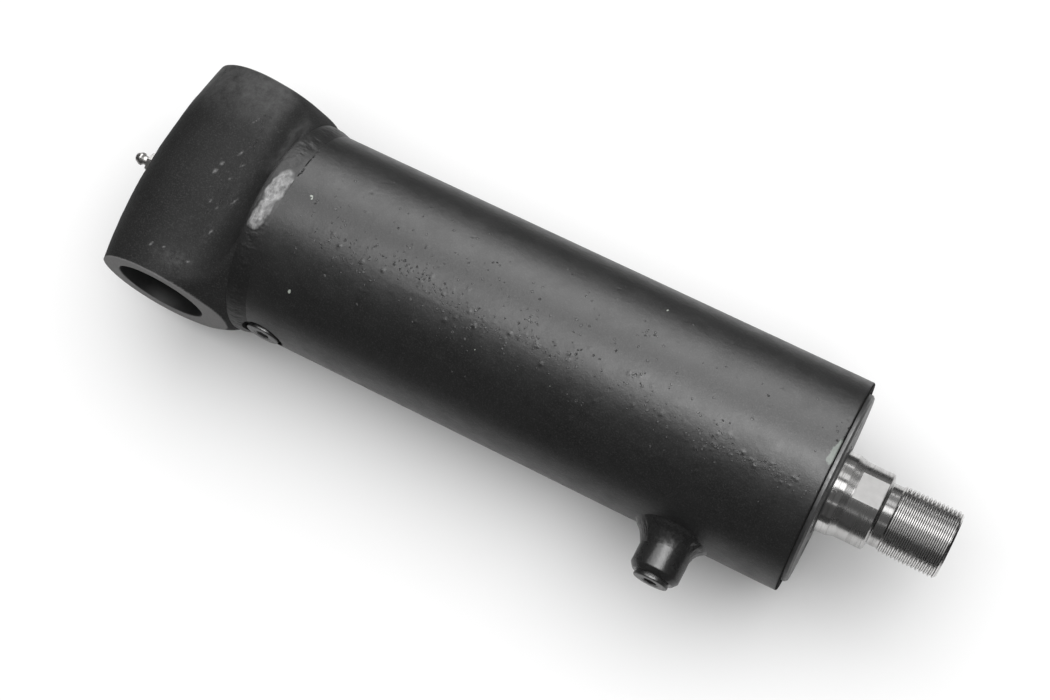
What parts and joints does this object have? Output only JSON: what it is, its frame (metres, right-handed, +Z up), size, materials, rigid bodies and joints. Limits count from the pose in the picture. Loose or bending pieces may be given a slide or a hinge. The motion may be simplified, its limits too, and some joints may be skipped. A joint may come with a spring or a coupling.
{
  "type": "hydraulic cylinder",
  "caption": "Double-acting hydraulic cylinder with a forged pin eye, welded base, screwed-in gland, plugged ports and a sliding rod with a threaded end.",
  "frame": {"origin": "centre of the pin eye's bore, on the barrel axis", "axes": "+X along the barrel to the threaded rod end, Y along the pin with both ports facing -Y, +Z up"},
  "size_m": [0.434, 0.1319, 0.1094],
  "materials": {
    "barrel_paint": "satin black paint with orange peel and small chips",
    "eye_paint": "satin black paint over a forged skin, thin on the machined end faces",
    "weld_paint": "weld bead with paint worn to grey metal",
    "port_paint": "gloss black paint over turned steel",
    "plug_steel": "blackened steel with worn edges",
    "gland_steel": "turned steel with thin grey-black paint",
    "rod_chrome": "ground and chromed rod, bright turned neck and thread",
    "fitting_zinc": "zinc plated, dulled",
    "spring_steel": "drawn wire",
    "ball_steel": "polished",
    "piston_steel": "turned",
    "nut_steel": "turned, lightly oiled",
    "black_rubber": "matt",
    "red_polyurethane": "smooth",
    "green_polyurethane": "smooth",
    "white_ptfe": "waxy",
    "bronze_ptfe": "filled, matt",
    "phenolic": "woven cloth in resin"
  },
  "bodies": {
    "barrel": {"barrel_tube": "barrel_paint", "base_eye": "eye_paint", "base_weld_bead": "weld_paint", "rod_port_boss": "port_paint", "rod_port_weld": "port_paint", "rod_port_plug": "plug_steel", "rod_port_plug_seal": "black_rubber", "cap_port_plug": "plug_steel", "cap_port_plug_seal": "black_rubber", "gland": "gland_steel", "gland_oring": "black_rubber", "gland_backup_ring": "white_ptfe", "rod_guide_ring_outer": "phenolic", "rod_guide_ring_inner": "phenolic", "rod_buffer_seal": "green_polyurethane", "rod_seal": "red_polyurethane", "rod_wiper": "black_rubber", "grease_fitting_body": "fitting_zinc", "grease_fitting_spring": "spring_steel"},
    "grease_ball": {"grease_fitting_ball": "ball_steel"},
    "piston_rings": {"piston_seal": "bronze_ptfe", "piston_seal_energizer": "black_rubber", "piston_wear_ring_front": "phenolic", "piston_wear_ring_rear": "phenolic"},
    "rod_and_piston": {"rod": "rod_chrome", "piston": "piston_steel", "piston_static_oring": "black_rubber", "piston_nut": "nut_steel"}
  },
  "joints": [
    {"name": "rod_slide", "type": "slide", "parent": "barrel", "child": "piston_rings", "axis": [1, 0, 0], "range_m": [0, 0.155]},
    {"name": "rod_turn", "type": "hinge", "parent": "piston_rings", "child": "rod_and_piston", "pos_m": [0.0862, 0, 0], "axis": [1, 0, 0], "continuous": true},
    {"name": "grease_check", "type": "slide", "parent": "barrel", "child": "grease_ball", "axis": [1, 0, 0], "range_m": [0, 0.0008], "stiffness_N_per_m": 200, "springref_m": -0.002, "deforming": ["grease_fitting_spring"]}
  ]
}
